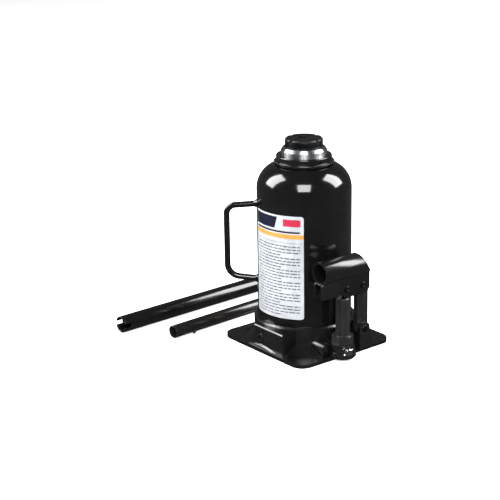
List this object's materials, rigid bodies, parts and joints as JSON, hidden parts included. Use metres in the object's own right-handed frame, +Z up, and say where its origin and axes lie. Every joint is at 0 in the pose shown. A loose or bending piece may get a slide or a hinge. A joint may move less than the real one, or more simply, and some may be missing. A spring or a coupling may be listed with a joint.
{
  "type": "hydraulic bottle jack",
  "caption": "Black welded hydraulic bottle jack with screw-extension ram, side pump and link, carry ring, and a loose two-piece tubular handle.",
  "frame": {"origin": "ram axis at the underside of the base", "axes": "+Z up along the ram, +X towards the pump, +Y along the handle socket away from its open mouth"},
  "size_m": [0.2756, 0.3405, 0.242],
  "materials": {
    "base_paint": "gloss black paint on cast steel",
    "tank_paint": "gloss black paint",
    "gasket": "matte",
    "nut_paint": "satin black",
    "plug_rubber": "matte",
    "label_print": "printed film",
    "handle_paint": "gloss black paint",
    "machined_steel": "turned",
    "copper": "satin",
    "ram_steel": "ground and polished",
    "seal": "satin",
    "wear_ring": "matte",
    "dark_steel": "oiled",
    "screw_steel": "turned",
    "saddle_steel": "dark phosphate",
    "pump_paint": "satin black",
    "plunger_steel": "ground",
    "ball_steel": "polished",
    "spring_wire": "drawn wire",
    "valve_steel": "zinc plated",
    "strainer": "satin",
    "link_paint": "satin black",
    "pin_steel": "blackened",
    "clip_steel": "spring steel",
    "socket_paint": "gloss black paint",
    "tube_paint": "gloss black paint",
    "small_tube_paint": "gloss black paint, bare swaged end",
    "button_steel": "bright",
    "spring_strip": "spring steel"
  },
  "bodies": {
    "jack": {"base_casting": "base_paint", "tank": "tank_paint", "tank_gasket": "gasket", "tank_nut": "nut_paint", "tank_nut_gasket": "gasket", "label": "label_print", "carry_handle": "handle_paint", "pressure_cylinder": "machined_steel", "cylinder_gasket": "copper", "ram_wiper": "seal", "pump_cylinder": "pump_paint", "pump_gasket": "copper", "plunger_packing": "seal", "discharge_spring": "spring_wire", "discharge_plug": "dark_steel", "relief_spring": "spring_wire", "relief_screw": "dark_steel", "oil_strainer": "strainer", "link_base_pin": "pin_steel", "link_base_clip": "clip_steel", "relief_ball": "ball_steel"},
    "ram_body": {"ram": "ram_steel", "ram_cup_seal": "seal", "ram_wear_ring": "wear_ring", "seal_retainer": "machined_steel", "retainer_screw": "dark_steel"},
    "screw_body": {"extension_screw": "screw_steel"},
    "saddle_body": {"saddle": "saddle_steel"},
    "link": {"fulcrum_link": "link_paint"},
    "socket": {"handle_socket": "socket_paint", "plunger_pin": "pin_steel", "link_top_pin": "pin_steel", "socket_pin_clips": "clip_steel"},
    "plunger": {"pump_plunger": "plunger_steel"},
    "release": {"release_valve": "valve_steel", "release_valve_pin": "valve_steel", "release_oring": "seal"},
    "suction": {"suction_ball": "ball_steel"},
    "discharge": {"discharge_ball": "ball_steel"},
    "filler": {"filler_plug": "plug_rubber"},
    "handle_large": {"handle_tube_large": "tube_paint"},
    "handle_small": {"handle_tube_small": "small_tube_paint", "button_spring": "spring_strip"},
    "button": {"lock_button": "button_steel"}
  },
  "joints": [
    {"name": "ram_lift", "type": "slide", "parent": "jack", "child": "ram_body", "axis": [0, 0, 1], "range_m": [0, 0.15]},
    {"name": "extension_rise", "type": "slide", "parent": "ram_body", "child": "screw_body", "axis": [0, 0, 1], "range_m": [0, 0.06]},
    {"name": "saddle_turn", "type": "hinge", "parent": "screw_body", "child": "saddle_body", "pos_m": [0, 0, 0.24], "axis": [0, 0, 1], "continuous": true},
    {"name": "link_rock", "type": "hinge", "parent": "jack", "child": "link", "pos_m": [0.0765, 0.0182, 0.031], "axis": [-1, 0, 0], "range_deg": [-6.5, 0]},
    {"name": "socket_swing", "type": "hinge", "parent": "link", "child": "socket", "pos_m": [0.0765, 0.0152, 0.0844], "axis": [-1, 0, 0], "range_deg": [0, 51.3]},
    {"name": "plunger_stroke", "type": "slide", "parent": "jack", "child": "plunger", "axis": [0, 0, 1], "range_m": [0, 0.0168]},
    {"name": "release_turn", "type": "hinge", "parent": "jack", "child": "release", "pos_m": [0.09154, -0.01427, 0.0132], "axis": [0.9397, -0.342, 0], "range_deg": [0, 540]},
    {"name": "suction_ball_lift", "type": "slide", "parent": "jack", "child": "suction", "axis": [0, 0, 1], "range_m": [0, 0.0005]},
    {"name": "discharge_ball_lift", "type": "slide", "parent": "jack", "child": "discharge", "axis": [0, -1, 0], "range_m": [0, 0.001]},
    {"name": "filler_plug_pull", "type": "slide", "parent": "jack", "child": "filler", "axis": [-0.7071, 0.7071, 0], "range_m": [0, 0.02]},
    {"name": "handle_large_lift", "type": "slide", "parent": "jack", "child": "handle_large", "axis": [0, 0, 1], "range_m": [0, 0.3]},
    {"name": "handle_small_lift", "type": "slide", "parent": "jack", "child": "handle_small", "axis": [0, 0, 1], "range_m": [0, 0.3]},
    {"name": "lock_button_press", "type": "slide", "parent": "handle_small", "child": "button", "axis": [-0.7868, -0.0445, 0.6157], "range_m": [0, 0.0024], "stiffness_N_per_m": 600, "deforming": ["button_spring"]}
  ],
  "couplings": [
    {"joint": "link_rock", "follows": "socket_swing", "ratio": -0.1228},
    {"joint": "plunger_stroke", "follows": "socket_swing", "m_per_rad": 0.0186}
  ]
}
